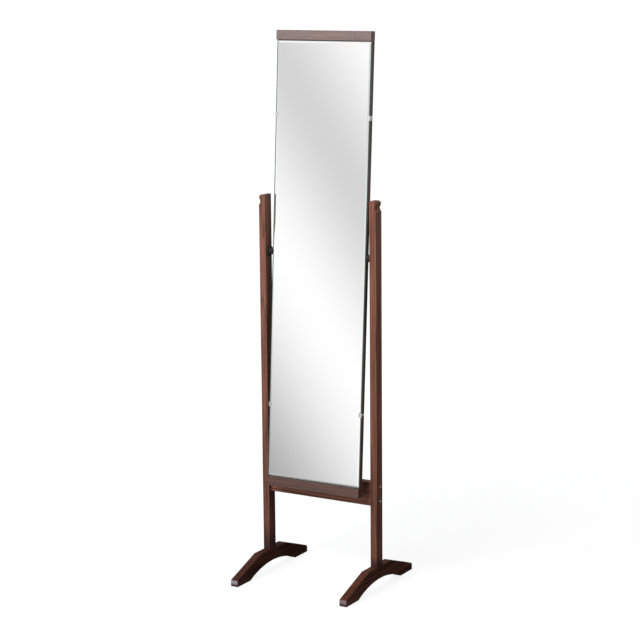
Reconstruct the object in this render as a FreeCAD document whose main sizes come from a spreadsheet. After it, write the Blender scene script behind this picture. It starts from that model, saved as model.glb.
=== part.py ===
import FreeCAD, Part
import math
import os
import re
import Sketcher

# A narrow cheval mirror: two posts on arched feet, one crossbar, and a long mirror panel that tilts
# between the posts. Frame: +X to the right, +Y to the back, +Z up. The origin is on the floor, midway
# between the feet. The panel's own pieces are drawn about its tilt axis, upright, and are then hung on
# that axis at the rest lean.

DOC = FreeCAD.newDocument("cheval_mirror")
SHEET = DOC.addObject("Spreadsheet::Sheet", "Sizes")

# Driving dimensions in millimetres, angles in degrees. Each can be changed by itself.
SIZES = [
    ("stand_width", 362, "over the posts' outer faces"),
    ("post_width", 20, "post, side to side"),
    ("post_depth", 32, "post, front to back"),
    ("post_top", 1060, "floor to the post's flat top"),
    ("bead_radius", 8, "round bead along the post's outer top corner"),
    ("bead_turn", 30, "how far the bead runs on below its side, in degrees"),
    ("bead_inset", 1.5, "bead's outermost line, in from the post's outer face"),
    ("cove_radius", 11, "hollow below the bead"),
    ("shoulder_drop", 28, "post's top down to the sharp shoulder below the cove"),
    ("wood_ease", 1, "rounding of the wood's long edges"),
    ("foot_length", 372, "foot, front to back"),
    ("foot_thickness", 22, "foot, side to side"),
    ("foot_height", 61, "floor to the foot's flat top"),
    ("foot_flat", 128, "length of the flat top"),
    ("tip_height", 18.5, "height of the foot's end before it is rounded"),
    ("tip_low_round", 2, "rounding of the end's lower corner"),
    ("tip_high_round", 6.5, "rounding of the end's upper corner"),
    ("arch_span", 239, "arch under the foot, at the floor"),
    ("arch_rise", 27, "arch under the foot, floor to crown"),
    ("crossbar_bottom", 229, "floor to the crossbar's lower edge"),
    ("crossbar_height", 66, "crossbar, top to bottom"),
    ("crossbar_thickness", 21, "crossbar, front to back"),
    ("crossbar_screw_pitch", 40, "between the two screws in each end"),
    ("crossbar_screw_length", 55, "screw under its head"),
    ("crossbar_screw_diameter", 4, "screw's shank"),
    ("crossbar_head_diameter", 8, "screw's head"),
    ("crossbar_head_sink", 2, "depth the head is let into the post"),
    ("crossbar_head_dome", 0.8, "rise of the head above the post"),
    ("crossbar_dowel_diameter", 8, "dowel in each end of the crossbar"),
    ("crossbar_dowel_length", 34, "that dowel's length"),
    ("crossbar_dowel_bite", 11, "how deep it enters the post"),
    ("bolt_diameter", 6, "bolt up through the foot"),
    ("bolt_length", 60, "bolt under its head"),
    ("bolt_head_diameter", 10, "bolt's cylindrical head"),
    ("bolt_head_height", 6, "bolt's cylindrical head"),
    ("bolt_pocket_depth", 9, "head's pocket above the arch's crown"),
    ("bolt_pocket_diameter", 13, "head's pocket"),
    ("end_chamfer", 1, "chamfer at the ends of the foot bolt and of the pivot pin"),
    ("washer_diameter", 12, "washer under the bolt's head"),
    ("washer_thickness", 1.5, "washer under the bolt's head"),
    ("insert_diameter", 10, "threaded insert in the post's end"),
    ("insert_length", 18, "threaded insert in the post's end"),
    ("foot_dowel_diameter", 6, "dowels between foot and post"),
    ("foot_dowel_length", 40, "dowels between foot and post"),
    ("foot_dowel_pitch", 21, "between the two dowels of one foot"),
    ("pivot_height", 905, "floor to the tilt axis"),
    ("pivot_setback", 2, "tilt axis behind the posts' middle plane"),
    ("pin_diameter", 6, "pivot pin"),
    ("pin_bite", 25, "pivot pin's length inside the stile"),
    ("pin_reach", 9, "pivot pin's length inside the post"),
    ("flange_diameter", 28, "bush's flange on the post's inner face"),
    ("flange_thickness", 4, "bush's flange"),
    ("flange_ring", 1, "width of the shallow ring in the flange's face"),
    ("flange_ease", 0.6, "bevel around the flange, and the ring's depth"),
    ("sleeve_diameter", 12, "bush's sleeve inside the post"),
    ("sleeve_length", 12, "bush's sleeve inside the post"),
    ("collar_diameter", 20, "friction collar between flange and panel"),
    ("side_gap", 16, "panel's side to the post's inner face"),
    ("rest_lean", 3.85, "panel's lean at rest, top to the back"),
    ("panel_length", 1243, "panel, end to end"),
    ("pivot_raise", 26, "tilt axis above the panel's middle"),
    ("glass_lead", 8, "glass's front face, forward of the tilt axis"),
    ("glass_thickness", 4, "mirror glass"),
    ("bevel_width", 7, "bevel along the glass's edges"),
    ("bevel_depth", 1.6, "bevel along the glass's edges"),
    ("rail_height", 26, "top and bottom rails"),
    ("rail_proud", 5, "rails' faces, forward of the glass"),
    ("frame_depth", 12, "stiles, from the glass's back to the panel's back"),
    ("stile_width", 34, "stiles, side to side"),
    ("middle_rail_height", 50, "hidden rail between the stiles"),
    ("board_thickness", 3, "back board"),
    ("board_margin", 10, "wood left around the back board"),
    ("frame_dowel_diameter", 6, "dowels in the panel's frame"),
    ("frame_dowel_length", 30, "dowels in the panel's frame"),
    ("frame_dowel_pitch", 16, "between the two dowels of one rail joint"),
    ("middle_dowel_pitch", 28, "between the two dowels of one middle rail joint"),
    ("clip_spread", 395, "clips above and below the panel's middle"),
    ("clip_height", 13, "clip along the glass's edge"),
    ("clip_sheet", 1, "clip's metal"),
    ("clip_reach", 8, "clip's tab over the glass"),
    ("clip_leg", 13, "clip's leg back from the glass's front face"),
    ("clip_screw_setback", 9.5, "clip's screw behind the glass's front face"),
    ("clip_screw_diameter", 3, "clip's screw"),
    ("clip_screw_length", 14, "clip's screw under its head"),
    ("clip_head_diameter", 5.6, "clip's screw's head"),
    ("clip_head_height", 1.8, "clip's screw's head"),
    ("board_screw_diameter", 3, "back board's screws"),
    ("board_screw_length", 10, "back board's screws under their heads"),
    ("board_head_diameter", 6, "back board's screws' heads"),
    ("board_head_height", 1.5, "back board's screws' heads"),
    ("board_screw_inset", 20, "back board's screws in from the panel's sides"),
    ("board_screw_end", 60, "first screw in from the panel's ends"),
    ("fixed_play", 0.05, "radial clearance around what is pressed, glued or screwed in"),
    ("running_play", 0.05, "radial clearance around the pivot pins"),
    ("glass_play", 0.3, "gap at each end of the glass, and around the back board"),
    ("hole_run", 2, "how much deeper a hole is than what it holds"),
    ("overrun", 1, "how far a cut runs out past the wood or metal it opens"),
]
BOARD_SCREWS_PER_SIDE = 4

# Shares of a screw's own size: its blunt point and its recess's depth of the shank's diameter, the dome's
# shoulder (rise, radius) and flat top of the head's rise and radius, the cross's arms of the head's diameter.
SCREW_POINT = 0.2
DOME_SHOULDER = (0.5, 0.9)
DOME_TOP = 0.6
CROSS_WIDTH = 0.14
CROSS_SPAN = 0.5
CROSS_DEPTH = 0.35

# Closer than this, in millimetres, two places are the same one.
SAME_PLACE = 1e-6

# A hexagon socket's corners from the bolt's axis, as a share of the bolt's diameter, and the rounding of a
# clip's bend, as a share of its metal.
SOCKET_REACH = 0.48
BEND_ROUND = 0.8

# Sizes and places that follow from the driving dimensions.
WORKED_OUT = {
    "outer_face": "stand_width / 2",
    "inner_face": "stand_width / 2 - post_width",
    "post_middle": "stand_width / 2 - post_width / 2",
    "bead_middle": "outer_face - bead_inset - bead_radius",
    "foot_half": "foot_length / 2",
    "flat_half": "foot_flat / 2",
    "arch_half": "arch_span / 2",
    "arch_radius": "(arch_half ^ 2 + arch_rise ^ 2) / (2 * arch_rise)",
    "crossbar_top": "crossbar_bottom + crossbar_height",
    "crossbar_back": "post_depth / 2",
    "crossbar_front": "crossbar_back - crossbar_thickness",
    "crossbar_level": "crossbar_bottom + crossbar_height / 2",
    "crossbar_plane": "crossbar_back - crossbar_thickness / 2",
    "pocket_ceiling": "arch_rise + bolt_pocket_depth",
    "bolt_seat": "pocket_ceiling - washer_thickness",
    "bolt_end": "bolt_seat + bolt_length",
    "insert_bottom": "foot_height + hole_run",
    "insert_top": "insert_bottom + insert_length",
    "foot_dowel_bottom": "foot_height - foot_dowel_length / 2",
    "foot_dowel_top": "foot_height + foot_dowel_length / 2",
    "panel_side": "inner_face - side_gap",
    "flange_face": "inner_face - flange_thickness",
    "panel_top": "panel_length / 2 - pivot_raise",
    "panel_bottom": "-(panel_length / 2) - pivot_raise",
    "top_rail_edge": "panel_top - rail_height",
    "bottom_rail_edge": "panel_bottom + rail_height",
    "glass_back": "glass_thickness - glass_lead",
    "rail_front": "-(glass_lead + rail_proud)",
    "panel_back": "glass_back + frame_depth",
    "board_front": "panel_back - board_thickness",
    "frame_core": "(glass_back + board_front) / 2",
    "stile_edge": "panel_side - stile_width",
    "stile_middle": "panel_side - stile_width / 2",
    "middle_rail_half": "middle_rail_height / 2",
    "rebate_side": "panel_side - board_margin",
    "rebate_top": "panel_top - board_margin",
    "rebate_bottom": "panel_bottom + board_margin",
    "clip_screw_plane": "clip_screw_setback - glass_lead",
    "board_screw_side": "panel_side - board_screw_inset",
    "board_screw_pitch": f"(panel_length - 2 * board_screw_end) / {BOARD_SCREWS_PER_SIDE - 1}",
}
SIDES = {"left": -1, "right": 1}
NODES = []


def fill_sheet():
    """One row for each driving dimension: its name, its value under an alias, and what it is."""
    for row, (alias, number, meaning) in enumerate(SIZES, 1):
        SHEET.set(f"A{row}", alias)
        SHEET.set(f"B{row}", str(number))
        SHEET.setAlias(f"B{row}", alias)
        SHEET.set(f"C{row}", meaning)
    DOC.recompute()


def bound(expression):
    """Spell an expression out in the sheet's cells."""
    driving = {alias for alias, _, _ in SIZES}

    def spell(match):
        word = match.group(0)
        if word in WORKED_OUT:
            return f"({bound(WORKED_OUT[word])})"
        return f"Sizes.{word}" if word in driving else word

    return re.sub(r"(?<![\w.])[a-z][a-z_]*", spell, str(expression))


def value(expression):
    return float(SHEET.evalExpression(bound(expression)))


def new_body(name):
    return DOC.addObject("PartDesign::Body", name)


def new_sketch(body, name, role, level):
    """Sketch on one of the body's own planes, moved along that plane's axis to the given level."""
    plane = next(feature for feature in body.Origin.OriginFeatures if feature.Role == role)
    sketch = body.newObject("Sketcher::SketchObject", name)
    sketch.AttachmentSupport = [(plane, "")]
    sketch.MapMode = "FlatFace"
    along_normal = f"-({level})" if role == "XZ_Plane" else level
    sketch.setExpression("AttachmentOffset.Base.z", bound(along_normal))
    return sketch


def constrain(sketch, kind, members, expression):
    index = sketch.addConstraint(Sketcher.Constraint(kind, *members, value(expression)))
    sketch.setExpression(f"Constraints[{index}]", bound(expression))


def pin_point(sketch, geometry, point, across, up):
    """Hold one point of a sketch at its distances from the sketch's origin."""
    constrain(sketch, "DistanceX", (-1, 1, geometry, point), across)
    constrain(sketch, "DistanceY", (-1, 1, geometry, point), up)


def fitted(diameter):
    """Hole's diameter for something that is pressed, glued or screwed in."""
    return f"{diameter} + 2 * fixed_play"


def arc_between(start, end, radius, hand):
    """Arc from start to end that bulges to the left (hand 1) or the right (hand -1) of that way."""
    chord = end - start
    rise = radius - math.sqrt(radius ** 2 - chord.Length ** 2 / 4)
    left = FreeCAD.Vector(-chord.y, chord.x, 0).normalize()
    return Part.Arc(start, (start + end) / 2 + left * (hand * rise), end)


def end_at(sketch, index, place):
    """Which end of a sketch's curve lies at the place: 1 or 2."""
    gaps = [(sketch.getPoint(index, end) - place).Length for end in (1, 2)]
    return 1 + gaps.index(min(gaps))


def draw_outline(sketch, corners):
    """Closed outline. A corner is (across, up), with a radius and a hand where an arc leaves it."""
    points = [FreeCAD.Vector(value(corner[0]), value(corner[1]), 0) for corner in corners]
    starts = []
    for index, corner in enumerate(corners):
        start = points[index]
        end = points[(index + 1) % len(points)]
        if len(corner) == 2:
            sketch.addGeometry(Part.LineSegment(start, end))
        else:
            sketch.addGeometry(arc_between(start, end, value(corner[2]), corner[3]))
        starts.append(end_at(sketch, index, start))
    for index, corner in enumerate(corners):
        previous = (index - 1) % len(corners)
        joined = (previous, 3 - starts[previous], index, starts[index])
        sketch.addConstraint(Sketcher.Constraint("Coincident", *joined))
        pin_point(sketch, index, starts[index], corner[0], corner[1])
        if len(corner) > 2:
            constrain(sketch, "Radius", (index,), corner[2])


def draw_circles(sketch, centres, diameter):
    for index, (across, up) in enumerate(centres):
        centre = FreeCAD.Vector(value(across), value(up), 0)
        sketch.addGeometry(Part.Circle(centre, FreeCAD.Vector(0, 0, 1), value(diameter) / 2))
        pin_point(sketch, index, 3, across, up)
        constrain(sketch, "Diameter", (index,), diameter)


def slab(body, kind, name, role, low, high, draw):
    """Pad or Pocket whose two flat ends lie at the levels low and high along the plane's axis."""
    sketch = new_sketch(body, f"{name}_sketch", role, f"(({low}) + ({high})) / 2")
    draw(sketch)
    feature = body.newObject(f"PartDesign::{kind}", name)
    feature.Profile = sketch
    feature.SideType = "Symmetric"
    feature.setExpression("Length", bound(f"abs(({high}) - ({low}))"))
    DOC.recompute()


def pad(body, name, role, low, high, corners):
    slab(body, "Pad", name, role, low, high, lambda sketch: draw_outline(sketch, corners))


def pocket(body, name, role, low, high, draw):
    """Cut that must remove wood or metal."""
    before = body.Shape.Volume
    slab(body, "Pocket", name, role, low, high, draw)
    if body.Shape.Volume >= before:
        raise RuntimeError(f"{body.Label}: {name} cuts nothing")


def drill(body, name, role, low, high, centres, diameter):
    pocket(body, name, role, low, high, lambda sketch: draw_circles(sketch, centres, diameter))


def rebate(body, name, role, low, high, corners):
    pocket(body, name, role, low, high, lambda sketch: draw_outline(sketch, corners))


def rectangle(left, bottom, right, top):
    return [(left, bottom), (right, bottom), (right, top), (left, top)]


def round_edges(body, name, radius, wanted):
    """Fillet every edge of the body that the test picks."""
    base = body.Tip
    edges = [f"Edge{number}" for number, edge in enumerate(base.Shape.Edges, 1) if wanted(edge)]
    fillet = body.newObject("PartDesign::Fillet", name)
    fillet.Base = (base, edges)
    fillet.setExpression("Radius", bound(radius))
    DOC.recompute()


def runs_along(edge, axis):
    """True for a straight edge parallel to the axis."""
    if edge.Curve.TypeId != "Part::GeomLine":
        return False
    return abs(abs(edge.tangentAt(edge.FirstParameter).dot(axis)) - 1) < 1e-6


ALONG_X = FreeCAD.Vector(1, 0, 0)
ALONG_Z = FreeCAD.Vector(0, 0, 1)


def turn(body, name, corners):
    """Solid of revolution about X. Each corner is (place along X, radius)."""
    sketch = new_sketch(body, f"{name}_sketch", "XY_Plane", "0")
    draw_outline(sketch, corners)
    feature = body.newObject("PartDesign::Revolution", name)
    feature.Profile = sketch
    feature.ReferenceAxis = (sketch, ["H_Axis"])
    DOC.recompute()


def place(item, x, y, z, rotation=FreeCAD.Rotation()):
    item.Placement = FreeCAD.Placement(FreeCAD.Vector(), rotation)
    for axis, expression in zip("xyz", (x, y, z)):
        item.setExpression(f"Placement.Base.{axis}", bound(expression))


def hang(item):
    """Put a piece of the panel on the tilt axis, leaning back as at rest."""
    lean = FreeCAD.Rotation(FreeCAD.Vector(-1, 0, 0), value("rest_lean"))
    place(item, "0", "pivot_setback", "pivot_height", lean)
    item.setExpression("Placement.Rotation.Angle", bound("rest_lean"))


def keep(item):
    """Make an object a node of its own."""
    NODES.append(item)
    return item


def group(name, items):
    """One node that holds several separate, equal pieces."""
    compound = DOC.addObject("Part::Compound", name)
    compound.Links = items
    return keep(compound)


def dowel(name, diameter, length, x, y, z, rotation=FreeCAD.Rotation()):
    """Plain round dowel that starts at the given place and runs along the rotated Z axis."""
    cylinder = DOC.addObject("Part::Cylinder", name)
    cylinder.setExpression("Radius", bound(f"({diameter}) / 2"))
    cylinder.setExpression("Height", bound(length))
    place(cylinder, x, y, z, rotation)
    return cylinder


def cross(width, span):
    """Outline of the cross recess in a screw's head."""
    arm = f"({span}) / 2"
    half = f"({width}) / 2"
    minus_arm = f"-({arm})"
    minus_half = f"-({half})"
    return [
        (arm, minus_half), (arm, half), (half, half), (half, arm), (minus_half, arm), (minus_half, half),
        (minus_arm, half), (minus_arm, minus_half), (minus_half, minus_half), (minus_half, minus_arm),
        (half, minus_arm), (half, minus_half),
    ]


def wood_screw(name, diameter, length, head_diameter, head_sink, head_rise):
    """Screw along X, point to -X. The wood's surface is at 0; the head lies partly below and above it."""
    body = new_body(name)
    seat = f"-({head_sink})"
    tip = f"{seat} - ({length})"
    radius = f"({diameter}) / 2"
    head = f"({head_diameter}) / 2"
    shank = [
        (tip, "0"),
        (tip, f"({diameter}) * {SCREW_POINT}"),
        (f"({tip}) + ({diameter})", radius),
        (seat, radius),
        (seat, head),
    ]
    sunk_wall = [("0", head)] if value(head_sink) > 0 else []
    shoulder_rise, shoulder_radius = DOME_SHOULDER
    dome = [
        (f"({head_rise}) * {shoulder_rise}", f"({head}) * {shoulder_radius}"),
        (head_rise, f"({head}) * {DOME_TOP}"),
        (head_rise, "0"),
    ]
    turn(body, "blank", shank + sunk_wall + dome)
    floor = f"({head_rise}) - ({diameter}) * {CROSS_DEPTH}"
    arms = cross(f"({head_diameter}) * {CROSS_WIDTH}", f"({head_diameter}) * {CROSS_SPAN}")
    rebate(body, "recess", "YZ_Plane", floor, f"({head_rise}) + overrun", arms)
    return body


# The stand


def crossbar_screw_places():
    """(y, z) of the two screws in each end of the crossbar."""
    return [("crossbar_plane", f"crossbar_level + {up} * crossbar_screw_pitch / 2") for up in (-1, 1)]


def foot_dowel_places(middle):
    """(x, y) of the two dowels between a post and its foot."""
    return [(middle, f"{way} * foot_dowel_pitch / 2") for way in (-1, 1)]


def make_post(word, hand):
    """Post with a bead and cove on the outer side of its top, and holes for the bush, crossbar and foot."""
    body = new_body(f"{word}_post")
    inner = f"{hand} * inner_face"
    outer = f"{hand} * outer_face"
    pad(body, "post", "XZ_Plane", "-(post_depth / 2)", "post_depth / 2", [
        (inner, "foot_height"),
        (outer, "foot_height"),
        (outer, "post_top - shoulder_drop", "cove_radius", hand),
        (f"{hand} * (bead_middle + bead_radius * cos(bead_turn))",
         "post_top - bead_radius * (1 + sin(bead_turn))", "bead_radius", -hand),
        (f"{hand} * bead_middle", "post_top"),
        (inner, "post_top"),
    ])
    shoulder = value("post_top - shoulder_drop")
    round_edges(body, "eased", "wood_ease",
                lambda edge: runs_along(edge, ALONG_Z) and edge.CenterOfMass.z < shoulder)
    drill(body, "bush_hole", "YZ_Plane", inner, f"{hand} * (inner_face + sleeve_length + hole_run / 2)",
          [("pivot_setback", "pivot_height")], fitted("sleeve_diameter"))
    drill(body, "crossbar_dowel_hole", "YZ_Plane",
          inner, f"{hand} * (inner_face + crossbar_dowel_bite + hole_run / 2)",
          [("crossbar_plane", "crossbar_level")], fitted("crossbar_dowel_diameter"))
    screws = crossbar_screw_places()
    drill(body, "screw_holes", "YZ_Plane", inner, outer, screws, fitted("crossbar_screw_diameter"))
    drill(body, "screw_heads", "YZ_Plane", f"{hand} * (outer_face - crossbar_head_sink)", outer,
          screws, fitted("crossbar_head_diameter"))
    middle = f"{hand} * post_middle"
    drill(body, "insert_hole", "XY_Plane", "foot_height", "insert_top", [(middle, "0")],
          fitted("insert_diameter"))
    drill(body, "bolt_hole", "XY_Plane", "foot_height", "bolt_end + hole_run", [(middle, "0")],
          fitted("bolt_diameter"))
    drill(body, "dowel_holes", "XY_Plane", "foot_height", "foot_dowel_top + hole_run / 2",
          foot_dowel_places(middle), fitted("foot_dowel_diameter"))
    keep(body)


def make_foot(word, hand):
    """Foot board on edge: flat under the post, sloping to blunt tips, arched between its two flat pads."""
    body = new_body(f"{word}_foot")
    middle = f"{hand} * post_middle"
    sides = (f"{middle} - foot_thickness / 2", f"{middle} + foot_thickness / 2")
    pad(body, "board", "YZ_Plane", *sides, [
        ("arch_half", "0"),
        ("foot_half", "0"),
        ("foot_half", "tip_height"),
        ("flat_half", "foot_height"),
        ("-flat_half", "foot_height"),
        ("-foot_half", "tip_height"),
        ("-foot_half", "0"),
        ("-arch_half", "0", "arch_radius", 1),
    ])
    tip = value("foot_half")
    low = value("tip_height") / 2

    def at_tip(edge):
        return runs_along(edge, ALONG_X) and abs(abs(edge.CenterOfMass.y) - tip) < SAME_PLACE

    def off_floor(edge):
        return not runs_along(edge, ALONG_X) and edge.CenterOfMass.z > SAME_PLACE

    round_edges(body, "low_tips", "tip_low_round", lambda edge: at_tip(edge) and edge.CenterOfMass.z < low)
    round_edges(body, "high_tips", "tip_high_round", lambda edge: at_tip(edge) and edge.CenterOfMass.z > low)
    round_edges(body, "eased", "wood_ease", off_floor)
    drill(body, "head_pocket", "XY_Plane", "0", "pocket_ceiling", [(middle, "0")], "bolt_pocket_diameter")
    drill(body, "bolt_hole", "XY_Plane", "0", "foot_height", [(middle, "0")], fitted("bolt_diameter"))
    drill(body, "dowel_holes", "XY_Plane", "foot_dowel_bottom - hole_run / 2", "foot_height",
          foot_dowel_places(middle), fitted("foot_dowel_diameter"))
    keep(body)


def make_crossbar():
    """Low board between the posts, flush with their backs."""
    body = new_body("crossbar")
    pad(body, "board", "XZ_Plane", "crossbar_front", "crossbar_back",
        rectangle("-inner_face", "crossbar_bottom", "inner_face", "crossbar_top"))
    round_edges(body, "eased", "wood_ease", lambda edge: runs_along(edge, ALONG_X))
    for word, hand in SIDES.items():
        inner = f"{hand} * inner_face"
        drill(body, f"{word}_dowel_hole", "YZ_Plane",
              f"{hand} * (inner_face + crossbar_dowel_bite - crossbar_dowel_length - hole_run / 2)", inner,
              [("crossbar_plane", "crossbar_level")], fitted("crossbar_dowel_diameter"))
        drill(body, f"{word}_screw_holes", "YZ_Plane",
              f"{hand} * (outer_face - crossbar_head_sink - crossbar_screw_length - hole_run)", inner,
              crossbar_screw_places(), fitted("crossbar_screw_diameter"))
    keep(body)


def make_crossbar_fixings():
    """Two screws and one dowel in each end of the crossbar."""
    screws = []
    dowels = []
    for word, hand in SIDES.items():
        facing = FreeCAD.Rotation(FreeCAD.Vector(0, 0, 1), 90 - 90 * hand)
        for level, (y, z) in zip(("low", "high"), crossbar_screw_places()):
            screw = wood_screw(f"{word}_{level}_crossbar_screw", "crossbar_screw_diameter",
                               "crossbar_screw_length", "crossbar_head_diameter", "crossbar_head_sink",
                               "crossbar_head_dome")
            place(screw, f"{hand} * outer_face", y, z, facing)
            screws.append(screw)
        inward = FreeCAD.Rotation(FreeCAD.Vector(0, 1, 0), -90 * hand)
        dowels.append(dowel(f"{word}_crossbar_dowel", "crossbar_dowel_diameter", "crossbar_dowel_length",
                            f"{hand} * (inner_face + crossbar_dowel_bite)", "crossbar_plane",
                            "crossbar_level", inward))
    group("crossbar_screws", screws)
    group("crossbar_dowels", dowels)


def make_foot_bolt(word):
    """Socket-headed bolt along X: its shank runs to +X from the seat at 0."""
    body = new_body(f"{word}_foot_bolt")
    turn(body, "blank", [
        ("-bolt_head_height", "0"),
        ("-bolt_head_height", "bolt_head_diameter / 2"),
        ("0", "bolt_head_diameter / 2"),
        ("0", "bolt_diameter / 2"),
        ("bolt_length - end_chamfer", "bolt_diameter / 2"),
        ("bolt_length", "bolt_diameter / 2 - end_chamfer"),
        ("bolt_length", "0"),
    ])
    reach = f"bolt_diameter * {SOCKET_REACH}"
    socket = [(f"{reach} * cos({60 * side})", f"{reach} * sin({60 * side})") for side in range(6)]
    rebate(body, "socket", "YZ_Plane", "-bolt_head_height", "-(bolt_head_height / 2)", socket)
    return body


def make_ring(name, inner, outer, length):
    """Plain round tube along X from 0 to its length."""
    body = new_body(name)
    turn(body, "ring", [("0", f"({inner}) / 2"), ("0", f"({outer}) / 2"), (length, f"({outer}) / 2"),
                        (length, f"({inner}) / 2")])
    return body


def make_foot_fixings():
    """Bolt, washer, insert and two dowels that hold each post upright on its foot."""
    upward = FreeCAD.Rotation(FreeCAD.Vector(0, 1, 0), -90)
    bolts = []
    washers = []
    inserts = []
    dowels = []
    for word, hand in SIDES.items():
        middle = f"{hand} * post_middle"
        bolt = make_foot_bolt(word)
        place(bolt, middle, "0", "bolt_seat", upward)
        bolts.append(bolt)
        washer = make_ring(f"{word}_foot_washer", fitted("bolt_diameter"), "washer_diameter",
                           "washer_thickness")
        place(washer, middle, "0", "bolt_seat", upward)
        washers.append(washer)
        insert = make_ring(f"{word}_post_insert", fitted("bolt_diameter"), "insert_diameter",
                           "insert_length")
        place(insert, middle, "0", "insert_bottom", upward)
        inserts.append(insert)
        for spot, (x, y) in zip(("front", "back"), foot_dowel_places(middle)):
            dowels.append(dowel(f"{word}_{spot}_foot_dowel", "foot_dowel_diameter", "foot_dowel_length",
                                x, y, "foot_dowel_bottom"))
    group("foot_bolts", bolts)
    group("foot_washers", washers)
    group("post_inserts", inserts)
    group("foot_dowels", dowels)


def make_bush(word, hand):
    """Flanged bush in the post's blind hole, with a shallow ring in the flange's face around the collar."""
    body = new_body(f"{word}_pivot_bush")
    bore = "pin_diameter / 2 + running_play"
    rim = "flange_diameter / 2"
    ring = "collar_diameter / 2 + flange_ring"
    turn(body, "bush", [
        (f"{hand} * flange_face", bore),
        (f"{hand} * flange_face", ring),
        (f"{hand} * (flange_face + flange_ease)", ring),
        (f"{hand} * (flange_face + flange_ease)", f"{ring} + flange_ring"),
        (f"{hand} * flange_face", f"{ring} + flange_ring"),
        (f"{hand} * flange_face", f"{rim} - flange_ease"),
        (f"{hand} * (flange_face + flange_ease)", rim),
        (f"{hand} * inner_face", rim),
        (f"{hand} * inner_face", "sleeve_diameter / 2"),
        (f"{hand} * (inner_face + sleeve_length)", "sleeve_diameter / 2"),
        (f"{hand} * (inner_face + sleeve_length)", bore),
    ])
    place(body, "0", "pivot_setback", "pivot_height")
    keep(body)


# The panel, drawn about its tilt axis


def make_glass():
    """Mirror glass with a bevel along all four edges: a plate, and a tapered layer on its front."""
    plate = DOC.addObject("Part::Box", "glass_plate")
    for size, expression in (("Length", "2 * panel_side"), ("Width", "glass_thickness - bevel_depth"),
                             ("Height", "top_rail_edge - bottom_rail_edge - 2 * glass_play")):
        plate.setExpression(size, bound(expression))
    place(plate, "-panel_side", "bevel_depth - glass_lead", "bottom_rail_edge + glass_play")
    front = DOC.addObject("Part::Wedge", "glass_front")
    for size, expression in (
        ("Ymin", "-glass_lead"), ("Ymax", "bevel_depth - glass_lead"),
        ("Xmin", "bevel_width - panel_side"), ("Xmax", "panel_side - bevel_width"),
        ("X2min", "-panel_side"), ("X2max", "panel_side"),
        ("Zmin", "bottom_rail_edge + glass_play + bevel_width"),
        ("Zmax", "top_rail_edge - glass_play - bevel_width"),
        ("Z2min", "bottom_rail_edge + glass_play"), ("Z2max", "top_rail_edge - glass_play"),
    ):
        front.setExpression(size, bound(expression))
    glass = DOC.addObject("Part::Fuse", "mirror_glass")
    glass.Base = plate
    glass.Tool = front
    glass.Refine = True
    hang(keep(glass))


def frame_dowel_places():
    """(x, z) of the middle of each dowel in the panel's frame, and whether it runs along X."""
    places = []
    for hand in SIDES.values():
        for way in (-1, 1):
            for edge in ("top_rail_edge", "bottom_rail_edge"):
                places.append((f"{hand} * (stile_middle + {way} * frame_dowel_pitch / 2)", edge, False))
            places.append((f"{hand} * stile_edge", f"{way} * middle_dowel_pitch / 2", True))
    return places


def drill_frame_dowels(body, name, along_x, low, high, wanted):
    """Holes for those of the frame's dowels that the test picks."""
    centres = []
    for x, z, runs_x in frame_dowel_places():
        if runs_x == along_x and wanted(value(x), value(z)):
            centres.append(("frame_core", z) if runs_x else (x, "frame_core"))
    role = "YZ_Plane" if along_x else "XY_Plane"
    drill(body, name, role, low, high, centres, fitted("frame_dowel_diameter"))


def make_rail(name, outer, inner, way):
    """Rail proud of the glass, rebated at the back for the board. way is 1 at the top, -1 at the bottom."""
    body = new_body(name)
    pad(body, "rail", "XZ_Plane", "rail_front", "panel_back",
        rectangle("-panel_side", inner, "panel_side", outer))
    round_edges(body, "eased", "wood_ease", lambda edge: runs_along(edge, ALONG_X))
    rebate(body, "board_rebate", "XZ_Plane", "board_front", "panel_back + overrun",
           rectangle("-rebate_side", f"{inner} - {way} * overrun",
                     "rebate_side", f"{outer} - {way} * board_margin"))
    bite = f"{inner} + {way} * (frame_dowel_length / 2 + hole_run / 2)"
    level = value(inner)
    drill_frame_dowels(body, "dowel_holes", False, inner, bite, lambda x, z: z == level)
    hang(keep(body))


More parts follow.
